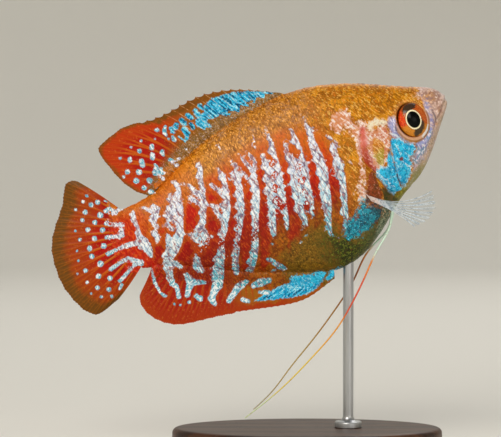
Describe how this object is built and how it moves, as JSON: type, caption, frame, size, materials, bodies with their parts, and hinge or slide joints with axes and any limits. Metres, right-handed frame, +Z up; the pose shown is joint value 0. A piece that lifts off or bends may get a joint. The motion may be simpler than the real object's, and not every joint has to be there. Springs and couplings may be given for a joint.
{
  "type": "dwarf gourami",
  "caption": "Life-size still model of a male dwarf gourami with spread fins and long pelvic feelers, held head-up by a rod over a flat oval base.",
  "frame": {"origin": "centre of the stand base's flat underside", "axes": "+X towards the fish's snout, +Y across it towards its left side, +Z up; -Z is the way out of the underside"},
  "size_m": [0.0673, 0.028, 0.0626],
  "materials": {
    "skin": "moist scaly skin, satin with a soft sheen",
    "eye": "wet gloss",
    "fin": "thin moist membrane over fine rays",
    "clear_fin": "clear membrane with whitish rays",
    "feeler": "moist thread, satin",
    "base": "oiled walnut",
    "rod": "brushed"
  },
  "bodies": {
    "root": {"head": "skin", "jaw_lower": "skin", "gill_cover_right": "skin", "gill_cover_left": "skin", "eye_right": "eye", "eye_left": "eye", "trunk": "skin", "tail_stem": "skin", "dorsal_fin": "fin", "anal_fin": "fin", "tail_fin": "fin", "pectoral_fin_right": "clear_fin", "pectoral_fin_left": "clear_fin", "pelvic_feeler_right": "feeler", "pelvic_feeler_left": "feeler", "stand_base": "base", "stand_rod": "rod"}
  },
  "joints": []
}
